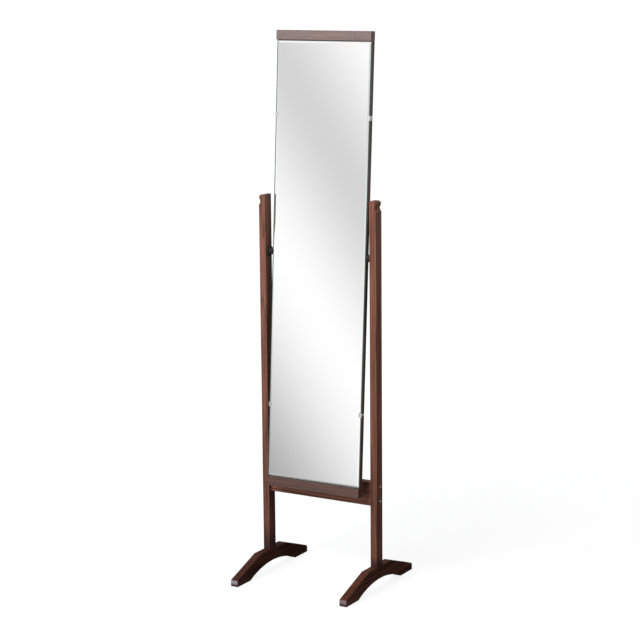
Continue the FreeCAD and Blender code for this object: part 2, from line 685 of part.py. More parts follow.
def make_stile(word, hand):
    """Stile behind one long edge of the glass: it carries the pivot pin, the clips and the back board."""
    body = new_body(f"{word}_stile")
    side = f"{hand} * panel_side"
    stile_edge = f"{hand} * stile_edge"
    pad(body, "stile", "XZ_Plane", "glass_back", "panel_back",
        rectangle(side, "bottom_rail_edge", stile_edge, "top_rail_edge"))
    outermost = value(side)

    def at_back_corner(edge):
        centre = edge.CenterOfMass
        return runs_along(edge, ALONG_Z) and abs(centre.x - outermost) < SAME_PLACE and centre.y > 0

    round_edges(body, "eased", "wood_ease", at_back_corner)
    rebate(body, "board_rebate", "XZ_Plane", "board_front", "panel_back + overrun",
           rectangle(f"{hand} * (stile_edge - overrun)", "bottom_rail_edge - overrun",
                     f"{hand} * rebate_side", "top_rail_edge + overrun"))
    drill(body, "pin_hole", "YZ_Plane", side, f"{hand} * (panel_side - pin_bite - hole_run / 2)",
          [("0", "0")], fitted("pin_diameter"))
    drill(body, "clip_holes", "YZ_Plane", side, f"{hand} * (panel_side - clip_screw_length - hole_run / 2)",
          [("clip_screw_plane", f"{up} * clip_spread - pivot_raise") for up in (-1, 1)],
          fitted("clip_screw_diameter"))
    for name, edge, way in (("top", "top_rail_edge", -1), ("bottom", "bottom_rail_edge", 1)):
        level = value(edge)
        drill_frame_dowels(body, f"{name}_dowel_holes", False, edge,
                           f"{edge} + {way} * (frame_dowel_length / 2 + hole_run / 2)",
                           lambda x, z: x * hand > 0 and z == level)
    drill_frame_dowels(body, "middle_dowel_holes", True, stile_edge,
                       f"{hand} * (stile_edge + frame_dowel_length / 2 + hole_run / 2)",
                       lambda x, z: x * hand > 0)
    drill(body, "board_screw_holes", "XZ_Plane", "panel_back - board_screw_length - hole_run / 4",
          "board_front", [(f"{hand} * board_screw_side", z) for z in board_screw_levels()],
          fitted("board_screw_diameter"))
    hang(keep(body))


def make_middle_rail():
    """Hidden rail that keeps the stiles apart at the pivots' height."""
    body = new_body("middle_rail")
    pad(body, "rail", "XZ_Plane", "glass_back", "board_front",
        rectangle("-stile_edge", "-middle_rail_half", "stile_edge", "middle_rail_half"))
    for word, hand in SIDES.items():
        drill_frame_dowels(body, f"{word}_dowel_holes", True, f"{hand} * stile_edge",
                           f"{hand} * (stile_edge - frame_dowel_length / 2 - hole_run / 2)",
                           lambda x, z: x * hand > 0)
    hang(keep(body))


def make_frame_dowels():
    dowels = []
    along_x = FreeCAD.Rotation(FreeCAD.Vector(0, 1, 0), 90)
    for number, (x, z, runs_x) in enumerate(frame_dowel_places(), 1):
        name = f"frame_dowel_{number}"
        if runs_x:
            start = (f"{x} - frame_dowel_length / 2", "frame_core", z, along_x)
        else:
            start = (x, "frame_core", f"{z} - frame_dowel_length / 2")
        dowels.append(dowel(name, "frame_dowel_diameter", "frame_dowel_length", *start))
    hang(group("frame_dowels", dowels))


def board_screw_levels():
    steps = range(BOARD_SCREWS_PER_SIDE)
    return [f"panel_bottom + board_screw_end + {step} * board_screw_pitch" for step in steps]


def make_board():
    """Thin back board let in flush with the frame's back, with a row of screws down each side."""
    body = new_body("back_panel")
    pad(body, "board", "XZ_Plane", "board_front", "panel_back",
        rectangle("glass_play - rebate_side", "rebate_bottom + glass_play", "rebate_side - glass_play",
                  "rebate_top - glass_play"))
    centres = [(f"{hand} * board_screw_side", z) for hand in SIDES.values() for z in board_screw_levels()]
    drill(body, "screw_holes", "XZ_Plane", "board_front", "panel_back", centres,
          fitted("board_screw_diameter"))
    hang(keep(body))
    backward = FreeCAD.Rotation(FreeCAD.Vector(0, 0, 1), 90)
    screws = []
    for number, (x, z) in enumerate(centres, 1):
        screw = wood_screw(f"board_screw_{number}", "board_screw_diameter", "board_screw_length",
                           "board_head_diameter", "0", "board_head_height")
        place(screw, x, "panel_back", z, backward)
        screws.append(screw)
    hang(group("back_panel_screws", screws))


def make_clips():
    """Bright L-shaped clips over the glass's long edges, each screwed to the stile's side."""
    screws = []
    for level, up in (("upper", 1), ("lower", -1)):
        middle = f"{up} * clip_spread - pivot_raise"
        for word, hand in SIDES.items():
            body = new_body(f"{level}_{word}_clip")
            side = f"{hand} * panel_side"
            outside = f"{hand} * (panel_side + clip_sheet)"
            tab = f"{hand} * (panel_side - clip_reach)"
            height = (f"{middle} - clip_height / 2", f"{middle} + clip_height / 2")
            pad(body, "clip", "XY_Plane", *height, [
                (tab, "-(glass_lead + clip_sheet)"),
                (outside, "-(glass_lead + clip_sheet)"),
                (outside, "clip_leg - glass_lead"),
                (side, "clip_leg - glass_lead"),
                (side, "-glass_lead"),
                (tab, "-glass_lead"),
            ])
            bend = value(outside)

            def at_bend(edge):
                centre = edge.CenterOfMass
                return runs_along(edge, ALONG_Z) and abs(centre.x - bend) < SAME_PLACE and centre.y < 0

            round_edges(body, "bend", f"clip_sheet * {BEND_ROUND}", at_bend)
            drill(body, "screw_hole", "YZ_Plane", side, outside, [("clip_screw_plane", middle)],
                  fitted("clip_screw_diameter"))
            hang(keep(body))
            screw = wood_screw(f"{level}_{word}_clip_screw", "clip_screw_diameter",
                               "clip_screw_length + clip_sheet", "clip_head_diameter", "0",
                               "clip_head_height")
            facing = FreeCAD.Rotation(FreeCAD.Vector(0, 0, 1), 90 - 90 * hand)
            place(screw, outside, "clip_screw_plane", middle, facing)
            screws.append(screw)
    hang(group("clip_screws", screws))


def make_pivot(word, hand):
    """Steel pin fixed in the stile, and the collar between the stile and the bush's flange."""
    pin = new_body(f"{word}_pivot_pin")
    radius = "pin_diameter / 2"
    turn(pin, "pin", [
        (f"{hand} * (panel_side - pin_bite)", "0"),
        (f"{hand} * (panel_side - pin_bite)", radius),
        (f"{hand} * (inner_face + pin_reach - end_chamfer)", radius),
        (f"{hand} * (inner_face + pin_reach)", f"{radius} - end_chamfer"),
        (f"{hand} * (inner_face + pin_reach)", "0"),
    ])
    hang(keep(pin))
    collar = new_body(f"{word}_pivot_collar")
    bore = f"{radius} + fixed_play"
    rim = "collar_diameter / 2"
    turn(collar, "collar", [
        (f"{hand} * panel_side", bore),
        (f"{hand} * panel_side", rim),
        (f"{hand} * flange_face", rim),
        (f"{hand} * flange_face", bore),
    ])
    hang(keep(collar))


def build():
    fill_sheet()
    for word, hand in SIDES.items():
        make_post(word, hand)
        make_foot(word, hand)
        make_bush(word, hand)
        make_stile(word, hand)
        make_pivot(word, hand)
    make_crossbar()
    make_crossbar_fixings()
    make_foot_fixings()
    make_glass()
    make_rail("top_rail", "panel_top", "top_rail_edge", 1)
    make_rail("bottom_rail", "panel_bottom", "bottom_rail_edge", -1)
    make_middle_rail()
    make_frame_dowels()
    make_board()
    make_clips()
    DOC.recompute()


def check():
    """Stop before anything is written if an object failed or a node's shape isn't sound."""
    for item in DOC.Objects:
        if "Invalid" in item.State or "Error" in item.State:
            raise RuntimeError(f"{item.Label} failed: {item.State}")
    for node in NODES:
        if node.Shape.isNull() or not node.Shape.isValid() or not node.Shape.Solids:
            raise RuntimeError(f"{node.Label} has no valid solid")


def write():
    os.makedirs("parts", exist_ok=True)
    for node in NODES:
        node.Shape.exportStep(os.path.join("parts", f"{node.Label}.step"))
        box = node.Shape.BoundBox
        spans = ((box.XMin, box.XMax), (box.YMin, box.YMax), (box.ZMin, box.ZMax))
        extent = "  ".join(f"{low:8.2f} {high:8.2f}" for low, high in spans)
        print(f"{node.Label:20s} {len(node.Shape.Solids):2d} solids  {node.Shape.Volume:10.0f} mm3  {extent}")


build()
check()
write()
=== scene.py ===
# %% [markdown]
# # A cheval mirror, dressed for its picture
#
# A cheval mirror is a long looking-glass that tilts between two posts. This one is a narrow, modern kind: slim
# stained posts on arched feet, one low crossbar, and a bevelled glass held by small bright clips.
#
# The shapes come ready-made from the imported model, so this lesson is about everything that a shape can't say by
# itself: what timber, glass, plated metal and plastic look like, and which light shows them. The first cell loads
# the imported model.

# %% Load the imported model
import math

import bpy
import numpy as np
from mathutils import Matrix, Vector


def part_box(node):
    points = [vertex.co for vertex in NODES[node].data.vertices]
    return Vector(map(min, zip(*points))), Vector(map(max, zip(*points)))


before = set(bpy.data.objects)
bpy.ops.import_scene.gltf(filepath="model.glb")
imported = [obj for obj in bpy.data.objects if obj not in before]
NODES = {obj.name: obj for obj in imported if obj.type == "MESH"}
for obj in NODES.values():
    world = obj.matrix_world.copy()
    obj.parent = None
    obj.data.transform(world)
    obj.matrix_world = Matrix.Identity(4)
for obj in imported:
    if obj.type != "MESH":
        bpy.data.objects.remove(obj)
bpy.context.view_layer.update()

# %% [markdown]
# ## Where things are
#
# A piece of timber has its grain along its length, and the panel leans, so the materials need to know a few
# directions. They could be typed in, but what is read from the model can't drift away from it. The glass is much
# longer than it is wide or thick, so the direction in which its corners spread most is the panel's own "up".

# %% Measure the panel's lean
def corners(name):
    """A node's vertices as rows of x, y and z, in metres."""
    mesh = NODES[name].data
    places = np.zeros(len(mesh.vertices) * 3, np.float32)
    mesh.vertices.foreach_get("co", places)
    return places.reshape(-1, 3).astype(float)


glass_places = corners("mirror_glass")
glass_middle = (glass_places.max(0) + glass_places.min(0)) / 2
panel_up = np.linalg.svd(glass_places - glass_middle, full_matrices=False)[2][0]
panel_up *= np.sign(panel_up[2])
lean = math.atan2(panel_up[1], panel_up[2])
panel_front = Vector((0, -math.cos(lean), math.sin(lean)))
print("the panel leans back by", round(math.degrees(lean), 2), "degrees")

# %% [markdown]
# ## The camera
#
# The mirror is seen from the front and from 30 degrees round to its right, so that both the glass and the right
# post's outer face show. A long lens from five metres keeps the posts almost parallel. The camera is placed first,
# because light and reflections only make sense from a known place.
#
# Blender's camera looks along its own -Z with +Y up. Turning it by three angles in a row (round to the side, down
# towards the floor, and a slight roll) is how a photographer would move a tripod head.

# %% Set up the camera
CAMERA_TURN = 30.5213
CAMERA_DISTANCE = 5.1384
CAMERA_HEIGHT = 1.6973
CAMERA_YAW = 0.008
CAMERA_PITCH = -10.6979
CAMERA_ROLL = -0.5216
LENS = 108.87
SENSOR = 36


def turned(degrees, axis):
    """A turn by an angle about one axis, as a 4 x 4 matrix."""
    return Matrix.Rotation(math.radians(degrees), 4, axis)


turn = math.radians(CAMERA_TURN)
camera_place = Vector((CAMERA_DISTANCE * math.sin(turn), -CAMERA_DISTANCE * math.cos(turn), CAMERA_HEIGHT))
camera_data = bpy.data.cameras.new("camera")
camera_data.lens = LENS
camera_data.sensor_width = SENSOR
camera = bpy.data.objects.new("camera", camera_data)
bpy.context.scene.collection.objects.link(camera)
camera.matrix_world = (
    Matrix.Translation(camera_place)
    @ turned(CAMERA_TURN + CAMERA_YAW, "Z")
    @ turned(90 + CAMERA_PITCH, "X")
    @ turned(CAMERA_ROLL, "Z")
)
bpy.context.scene.camera = camera
print("camera at", tuple(round(v, 3) for v in camera_place))

# %% [markdown]
# ## Tools for wiring nodes
#
# Every material below is a small network of nodes. One helper adds a node and fills its sockets, with a number, a
# colour or another node's output. The others are short names for the few kinds of node that come again and again.

# %% Helpers for nodes
def add(tree, kind, inputs=None, **settings):
    """Adds a node, sets its properties, and fills its input sockets by name or number."""
    node = tree.nodes.new(kind)
    for name, value in settings.items():
        setattr(node, name, value)
    for socket, value in (inputs or {}).items():
        if isinstance(value, bpy.types.NodeSocket):
            tree.links.new(value, node.inputs[socket])
        else:
            node.inputs[socket].default_value = value
    return node


def maths(tree, operation, *values, clamp=False):
    """One Math node's result."""
    return add(tree, "ShaderNodeMath", dict(enumerate(values)), operation=operation, use_clamp=clamp).outputs[0]


def vector_maths(tree, operation, *values):
    """One Vector Math node's vector, or its number for a length or a dot product."""
    node = add(tree, "ShaderNodeVectorMath", dict(enumerate(values)), operation=operation)
    return node.outputs["Value" if operation in ("LENGTH", "DOT_PRODUCT", "DISTANCE") else "Vector"]


def part_of(tree, vector, axis):
    """A vector's part along X, Y or Z, for axis 0, 1 or 2."""
    return add(tree, "ShaderNodeSeparateXYZ", {0: vector}).outputs[axis]


def ramp(tree, value, low, high, start=0.0, end=1.0, smooth=True):
    """Carries a value from low..high to start..end, held at both ends, with eased ends when smooth."""
    sockets = {"Value": value, "From Min": low, "From Max": high, "To Min": start, "To Max": end}
    return add(tree, "ShaderNodeMapRange", sockets, interpolation_type="SMOOTHSTEP" if smooth else "LINEAR").outputs[0]


def scaled(tree, value, share, base):
    """A value times a share, added to a base."""
    return maths(tree, "MULTIPLY_ADD", value, share, base)


def blend(tree, share, first, second):
    """Mixes two colours by a share."""
    return add(tree, "ShaderNodeMix", {0: share, 6: first, 7: second}, data_type="RGBA").outputs[2]


def noise(tree, place, scale, detail=2.0, roughness=0.5, distortion=0.0):
    """A Noise Texture's value between 0 and 1, at a place in metres."""
    sockets = {"Vector": place, "Scale": scale, "Detail": detail, "Roughness": roughness, "Distortion": distortion}
    return add(tree, "ShaderNodeTexNoise", sockets).outputs[0]


print("node helpers ready")

# %% [markdown]
# ## Tools for groups and materials
#
# A shader node group is the right home for an effect that several finishes share: it is built once, with named
# inputs and outputs, and each material places it with its own values. A material here is always one Principled
# shader. What is the same all over a surface is set on the shader's own sockets, and only what changes from place
# to place is linked.

# %% Helpers for groups and materials
def start_group(name, inputs, outputs):
    """A shader node group with named sockets: inputs maps a name to its first value, outputs to its kind."""
    tree = bpy.data.node_groups.new(name, "ShaderNodeTree")
    for title, value in inputs.items():
        kind = "NodeSocketFloat" if isinstance(value, (int, float)) else (
            "NodeSocketVector" if len(value) == 3 else "NodeSocketColor")
        tree.interface.new_socket(title, in_out="INPUT", socket_type=kind).default_value = value
    for title, kind in outputs.items():
        tree.interface.new_socket(title, in_out="OUTPUT", socket_type="NodeSocket" + kind)
    return tree, tree.nodes.new("NodeGroupInput").outputs, tree.nodes.new("NodeGroupOutput").inputs


def place_group(tree, group, **inputs):
    """Places a group in a material. Its named inputs are given with _ in place of spaces."""
    sockets = {title.replace("_", " "): value for title, value in inputs.items()}
    node = add(tree, "ShaderNodeGroup", node_tree=group)
    for title, value in sockets.items():
        if isinstance(value, bpy.types.NodeSocket):
            tree.links.new(value, node.inputs[title])
        else:
            node.inputs[title].default_value = value
    return node.outputs


def start_material(name, **shader):
    """A material with one Principled shader: its fixed settings go straight onto the shader's sockets."""
    material = bpy.data.materials.new(name)
    material.use_nodes = True
    tree = material.node_tree
    principled = next(n for n in tree.nodes if n.type == "BSDF_PRINCIPLED")
    for title, value in shader.items():
        principled.inputs[title.replace("_", " ")].default_value = value
    coordinates = add(tree, "ShaderNodeTexCoord").outputs
    return material, tree, principled, coordinates


def finish_material(tree, principled, color, roughness=None, metallic=None, height=None, depth=0.0001):
    """Links the worked-out colour, roughness, metallic and height to the shader. Depth is the bump's, in metres."""
    for title, value in (("Base Color", color), ("Roughness", roughness), ("Metallic", metallic)):
        if value is not None:
            tree.links.new(value, principled.inputs[title])
    if height is not None:
        bump = add(tree, "ShaderNodeBump", {"Height": height, "Strength": 1.0, "Distance": depth})
        tree.links.new(bump.outputs[0], principled.inputs["Normal"])


DRESSED = set()


def dress(material, *names):
    """Gives a material to whole nodes."""
    for name in names:
        mesh = NODES[name].data
        mesh.materials.clear()
        mesh.materials.append(material)
        DRESSED.add(name)


print("group and material helpers ready")

# %% [markdown]
# ## Timber, as a solid pattern
#
# Wood isn't painted on: a board is cut out of a trunk, so its figure runs through it, with long streaks on the
# faces and rings on the ends. A pattern that is worked out in the solid, with the grain along Z, gives both for
# nothing, wherever the board is cut.
#
# Everything in wood is drawn out along the grain. Multiplying Z by a small share before a pattern is looked up does
# that: a share of 0.02 makes each streak fifty times longer than it is wide. This cell starts the group, with the
# sockets that each kind of timber fills in its own way, and names the patterns that it is made of.

# %% Start the timber group
FIBRES = {"share": 0.018, "scale": 900.0, "detail": 3.0, "roughness": 0.62}
STREAKS = {"share": 0.022, "scale": 270.0, "detail": 2.0, "roughness": 0.55}
PATCHES = {"share": 0.22, "scale": 17.0, "detail": 3.0}
PORES = {"share": 0.035, "scale": 2100.0, "detail": 1.0}

timber, wood_in, wood_out = start_group(
    "timber",
    {"Place": (0, 0, 0), "Light": (0.5, 0.3, 0.2, 1), "Dark": (0.2, 0.1, 0.05, 1), "Ring Width": 0.004,
     "Figure": 0.6, "Fibre": 0.5, "Streaks": 1.0, "Pores": 0.5},
    {"Color": "Color", "Dullness": "Float", "Height": "Float"})


def drawn_out(share):
    """The place with Z times a share, so that a pattern looked up there is stretched along the grain."""
    return vector_maths(timber, "MULTIPLY", wood_in["Place"], (1, 1, share))


def grain_noise(share, **settings):
    """Noise that is drawn out along the grain."""
    return noise(timber, drawn_out(share), **settings)


def swing(value, share, base):
    """Adds a share of a value's swing about one half to a base."""
    return scaled(timber, maths(timber, "SUBTRACT", value, 0.5), share, base)


print("the timber group takes", ", ".join(i.name for i in timber.interface.items_tree if i.in_out == "INPUT"))

# %% [markdown]
# ## Rings, streaks, fibres and pores
#
# The figure starts from rings round a pith that lies outside the board, which broad noise makes wander. Across each
# ring the wood darkens slowly and then starts light again, as a summer's growth does. Over the rings lie streaks a
# few millimetres wide, which are what one sees from across a room, then fine fibres, and broad patches where the
# wood took the stain unevenly. Each swings the tone about its middle.
#
# Pores are short dark dashes, where still finer noise passes a threshold. The stain settles in the pores, so they are
# darker and duller than the wood between them.

# %% Fill the timber group
PITH = (0.045, 0.07, 0.0)
RING_SHARE = 0.012
LATE_WOOD_SHARPNESS = 2.2
WANDER_SHARE, WANDER_SCALE, WANDER_REACH = 0.09, 26.0, 0.016
MIDDLE_TONE, PATCH_SWING = 0.62, 0.3
PORE_FROM_TO = 0.60, 0.72
PORE_COLOR, PORE_COVER = (0.012, 0.006, 0.004, 1), 0.6

sockets = {"Vector": drawn_out(WANDER_SHARE), "Scale": WANDER_SCALE, "Detail": 2.0}
wander = add(timber, "ShaderNodeTexNoise", sockets).outputs[1]
wander = vector_maths(timber, "MULTIPLY", wander, (WANDER_REACH,) * 3)
radius = vector_maths(timber, "DISTANCE", vector_maths(timber, "ADD", drawn_out(RING_SHARE), wander), PITH)
rings = maths(timber, "FRACT", maths(timber, "DIVIDE", radius, wood_in["Ring Width"]))
late_wood = maths(timber, "POWER", rings, LATE_WOOD_SHARPNESS)
fibres, streaks, patches = (grain_noise(**pattern) for pattern in (FIBRES, STREAKS, PATCHES))
pores = maths(timber, "MULTIPLY", ramp(timber, grain_noise(**PORES), *PORE_FROM_TO), wood_in["Pores"])
tone = swing(patches, PATCH_SWING, MIDDLE_TONE)
tone = swing(streaks, wood_in["Streaks"], swing(fibres, wood_in["Fibre"], tone))
tone = maths(timber, "SUBTRACT", tone, maths(timber, "MULTIPLY", late_wood, wood_in["Figure"]), clamp=True)
color = blend(timber, tone, wood_in["Dark"], wood_in["Light"])
color = blend(timber, maths(timber, "MULTIPLY", pores, PORE_COVER), color, PORE_COLOR)
half_fibres = maths(timber, "MULTIPLY", fibres, 0.5)
half_pores = maths(timber, "MULTIPLY", pores, 0.5)
timber.links.new(color, wood_out["Color"])
timber.links.new(maths(timber, "ADD", half_fibres, half_pores), wood_out["Dullness"])
timber.links.new(maths(timber, "SUBTRACT", half_fibres, pores), wood_out["Height"])
print("timber group has", len(timber.nodes), "nodes")

# %% [markdown]
# ## Rubbed and shaded edges, and the marks of hands
#
# Where a rounded edge runs between two flat faces, the normal points between two axes, so the largest of its three
# parts is clearly below one. On flat faces, and on gently sloping ones, it stays near one. That makes a mask of the
# edges from the shape alone, and a little noise breaks it up, as sanding and years of dusting do. On the two rails
# the same mask carries painted shade, darkening their rounded edges. The second group is for smooth things: faint
# smears and settled dust, which change how dull a surface is more than its colour.

# %% Build the edge group and the handling group
FLAT, ROUNDED = 0.885, 0.76
WORN, WORN_FROM_TO = {"scale": 55.0, "detail": 4.0, "roughness": 0.6}, (0.32, 0.66)
SMEARS, SMEARS_FROM_TO = {"scale": 14.0, "detail": 5.0, "roughness": 0.62, "distortion": 1.2}, (0.45, 0.75)
SPECKS, SPECKS_FROM_TO = {"scale": 1700.0, "detail": 1.0}, (0.70, 0.80)

edges, edge_in, edge_out = start_group(
    "worn_and_shaded_edges", {"Normal": (0, 0, 1), "Place": (0, 0, 0), "Amount": 0.5}, {"Mask": "Float"})
parts = add(edges, "ShaderNodeSeparateXYZ", {0: vector_maths(edges, "ABSOLUTE", edge_in["Normal"])}).outputs
largest = maths(edges, "MAXIMUM", parts[0], maths(edges, "MAXIMUM", parts[1], parts[2]))
between = ramp(edges, largest, FLAT, ROUNDED)
worn = ramp(edges, noise(edges, edge_in["Place"], **WORN), *WORN_FROM_TO)
mask = maths(edges, "MULTIPLY", maths(edges, "MULTIPLY", between, worn), edge_in["Amount"])
edges.links.new(mask, edge_out["Mask"])

handling, hand_in, hand_out = start_group(
    "handling", {"Place": (0, 0, 0), "Smears": 0.5, "Dust": 0.5}, {"Dullness": "Float", "Dust": "Float"})
smears = ramp(handling, noise(handling, hand_in["Place"], **SMEARS), *SMEARS_FROM_TO)
specks = ramp(handling, noise(handling, hand_in["Place"], **SPECKS), *SPECKS_FROM_TO)
dust = maths(handling, "MULTIPLY", specks, hand_in["Dust"])
dulled = maths(handling, "ADD", maths(handling, "MULTIPLY", smears, hand_in["Smears"]), dust)
handling.links.new(dulled, hand_out["Dullness"])
handling.links.new(dust, hand_out["Dust"])
print("edge group has", len(edges.nodes), "nodes and handling group", len(handling.nodes))

# %% [markdown]
# ## Stained timber
#
# The posts, feet, crossbar, rails and stiles are hardwood in a dark reddish-brown stain under a satin lacquer. The
# stain is uneven, redder where the wood drank less of it, and it is thinnest on rounded edges, where the sander cut
# through. On the two rails the rounded edges are darkened instead, as painted shade. The lacquer gives one broad
# soft highlight, so the shader's roughness is middling, with a thin coat on top, and how much it reflects is set
# for each board.
#
# Two places differ. Above each foot the post is darkened to nearly black, as painted shade. The feet's blunt tips
# turn pale on their upper part, as a painted highlight. Height above the floor finds the first, and the normal's
# share along Y finds the second.

# %% Make the stained timber
STAIN_LIGHT = (0.190, 0.076, 0.050)
STAIN_DARK = (0.046, 0.017, 0.011)
# Pale wear on rubbed edges. Scaled down by edge on the rails, the same colour becomes painted shade.
STAIN_RUBBED = (0.240, 0.105, 0.070)
# A pale lavender painted highlight, laid on the upper part of the feet's blunt tips.
PAINTED_TIP_HIGHLIGHT = (0.300, 0.255, 0.300, 1)
# Near-black painted shade, laid on the posts just above the feet.
PAINTED_SHADE_ABOVE_FOOT = (0.012, 0.006, 0.007, 1)
SOBER_BROWN = 1.25
FOOT_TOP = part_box("left_foot")[1][2]
TIP_HIGHLIGHT_FACING = 0.80, 0.96
TIP_HIGHLIGHT_HEIGHTS = 0.002, 0.013
# How far the painted shade above the feet goes towards near black.
SHADE_ABOVE_FOOT_MOST = 0.80
COAT_SHARE, COAT_DULLNESS = 0.25, 0.22
WOOD_DULLS, HANDS_DULL = 0.14, 0.10


def stained_timber(name, turn, cut, strength=1.0, satin=0.34, gloss=0.16, ends=0.0, sober=0.0, foot_shade_reach=0.0, edge=1.0):
    """Stained hardwood: its grain is laid by a turn (radians about X, Y and Z), from a place in the trunk. Its
    colours are multiplied by strength, satin is the roughness of the best-kept lacquer, gloss its reflectance,
    ends the share of a pale painted highlight on the upper part of its front and back ends, sober how far the red is
    taken out, foot_shade_reach how far above the foot the painted shade reaches, in metres, and edge how pale the
    rubbed edges are: below one it darkens them instead, as painted shade."""
    light, dark, edge_wear_and_shade = (
        tuple(strength * (v + sober * (min(stain) * SOBER_BROWN - v)) for v in stain) + (1,)
        for stain in (STAIN_LIGHT, STAIN_DARK, tuple(v * edge for v in STAIN_RUBBED)))
    material, tree, principled, coordinates = start_material(
        name, IOR=1.45, Specular_IOR_Level=gloss,
        Coat_Weight=gloss * COAT_SHARE, Coat_Roughness=COAT_DULLNESS, Coat_IOR=1.45)
    laid = add(tree, "ShaderNodeMapping", {"Vector": coordinates["Object"], "Rotation": turn, "Location": cut})
    wood = place_group(tree, timber, Place=laid.outputs[0], Light=light, Dark=dark,
                       Ring_Width=0.0052, Figure=0.42, Fibre=0.9, Streaks=2.2, Pores=0.9)
    rub = place_group(tree, edges, Normal=coordinates["Normal"], Place=coordinates["Object"], Amount=0.55)
    smooth = place_group(tree, handling, Place=coordinates["Object"], Smears=0.5, Dust=0.3)
    # Rounded edges take this colour: paler wear where edge is one, painted shade on the two rails, where it is lower.
    color = blend(tree, rub["Mask"], wood["Color"], edge_wear_and_shade)
    height = part_of(tree, coordinates["Object"], 2)
    # Painted highlight: end faces that face along Y turn pale from a little above the floor upward.
    if ends:
        facing = part_of(tree, vector_maths(tree, "ABSOLUTE", coordinates["Normal"]), 1)
        tip_highlight = maths(tree, "MULTIPLY", ramp(tree, facing, *TIP_HIGHLIGHT_FACING), ramp(tree, height, *TIP_HIGHLIGHT_HEIGHTS, 0.0, ends))
        color = blend(tree, tip_highlight, color, PAINTED_TIP_HIGHLIGHT)
    # Painted shade: the post darkens towards near black just above its foot.
    if foot_shade_reach:
        shade_above_foot = ramp(tree, height, FOOT_TOP, FOOT_TOP + foot_shade_reach, SHADE_ABOVE_FOOT_MOST, 0.0)
        color = blend(tree, shade_above_foot, color, PAINTED_SHADE_ABOVE_FOOT)
    dull = maths(tree, "ADD", maths(tree, "MULTIPLY", wood["Dullness"], WOOD_DULLS),
                 maths(tree, "MULTIPLY", smooth["Dullness"], HANDS_DULL))
    roughness = maths(tree, "ADD", dull, satin)
    finish_material(tree, principled, color, roughness, height=wood["Height"], depth=0.00006)
    return material


print("stain between", STAIN_DARK, "and", STAIN_LIGHT)

# %% [markdown]
# ## Which board is which
#
# Each board's grain runs along its own length. A turn lays the timber group's Z along the board: upright for the
# posts, along X for crossbar and rails, along Y for the feet, and leaning with the panel for rails and stiles. Each
# also starts at its own place in the trunk, so no two boards match.
#
# One pot of stain doesn't explain how much the boards differ here, from 0.31 to 1.6 times the same colours. The
# strengths were adjusted board by board until each looked right under this lesson's lamps, so they make up for light
# as well as for stain, and the gloss was set in the same way. Under other lamps the feet may look too dark and the
# crossbar too pale.

# %% Dress the stained boards
QUARTER = math.pi / 2
UPRIGHT_LEFT, UPRIGHT_RIGHT = (0, 0, 0.4), (0, 0, 2.1)
ALONG_X, ALONG_Y = (0, QUARTER, 0), (QUARTER, 0, 0)
ALONG_RAIL, ALONG_STILE = (lean, QUARTER, 0), (lean, 0, 0)

# Both posts get painted shade above their feet, 95 mm high on the left and 35 mm on the right.
dress(stained_timber("stained_upright_left", UPRIGHT_LEFT, (0.21, 0.05, 0), 0.95, gloss=0.30, foot_shade_reach=0.095),
      "left_post")
dress(stained_timber("stained_upright_right", UPRIGHT_RIGHT, (-0.12, 0.09, 0.7), 1.02, foot_shade_reach=0.035), "right_post")
# The feet's tips get a painted highlight, stronger on the left foot than on the right.
dress(stained_timber("stained_foot_left", ALONG_Y, (0.11, 0.0, 0.3), 0.31, gloss=0.08, ends=0.95, sober=-0.32),
      "left_foot")
dress(stained_timber("stained_foot_right", ALONG_Y, (-0.31, 0.06, 0.9), 0.46, gloss=0.08, ends=0.60, sober=-0.32),
      "right_foot")
dress(stained_timber("stained_crossbar", ALONG_X, (0.03, 0.21, 0), 1.6), "crossbar")
# Both rails have edge below one, which paints shade on their rounded edges.
dress(stained_timber("stained_top_rail", ALONG_RAIL, (0.61, -0.07, 0), 0.46, 0.26, gloss=0.93, edge=0.2),
      "top_rail")
dress(stained_timber("stained_bottom_rail", ALONG_RAIL, (-0.15, 0.17, 0.2), 0.50, 0.28, gloss=0.72, edge=0.5),
      "bottom_rail")
dress(stained_timber("stained_stiles", ALONG_STILE, (0.04, 0.12, 0), 0.95, gloss=0.22, sober=0.42),
      "left_stile", "right_stile")
print("stained timber on", len(DRESSED), "nodes")

# %% [markdown]
# ## Bare timber and the back board
#
# What is hidden stays unstained on real furniture: dowels and the middle rail are pale bare hardwood, with the same
# figure and no lacquer. The board let into the panel's back is hardboard, pressed fibre without any grain: brown,
# mottled, and slightly fuzzy, which is noise at two scales and no direction.

# %% Make the bare timber and the hardboard
BARE_LIGHT, BARE_DARK = (0.62, 0.41, 0.23, 1), (0.36, 0.20, 0.10, 1)
BOARD_DARK, BOARD_LIGHT, BOARD_FUZZ = (0.125, 0.068, 0.040, 1), (0.170, 0.098, 0.058, 1), (0.080, 0.042, 0.025, 1)
MOTTLE, MOTTLE_FROM_TO = {"scale": 120.0, "detail": 6.0, "roughness": 0.75}, (0.3, 0.7)
FUZZ, FUZZ_COVER = {"scale": 1400.0, "detail": 3.0, "roughness": 0.7, "distortion": 0.6}, 0.4


def bare_timber(name, turn, cut):
    """Unstained hardwood: pale, dry and dull."""
    material, tree, principled, coordinates = start_material(name, IOR=1.45)
    laid = add(tree, "ShaderNodeMapping", {"Vector": coordinates["Object"], "Rotation": turn, "Location": cut})
    wood = place_group(tree, timber, Place=laid.outputs[0], Light=BARE_LIGHT, Dark=BARE_DARK,
                       Ring_Width=0.003, Figure=0.5, Fibre=0.8, Pores=0.5)
    roughness = scaled(tree, wood["Dullness"], share=0.25, base=0.55)
    finish_material(tree, principled, wood["Color"], roughness, height=wood["Height"], depth=0.00008)
    return material


dress(bare_timber("bare_crosswise", ALONG_X, (0.3, 0.1, 0)), "middle_rail", "frame_dowels", "crossbar_dowels")
dress(bare_timber("bare_upright", (0, 0, 0), (0.1, 0.2, 0)), "foot_dowels")

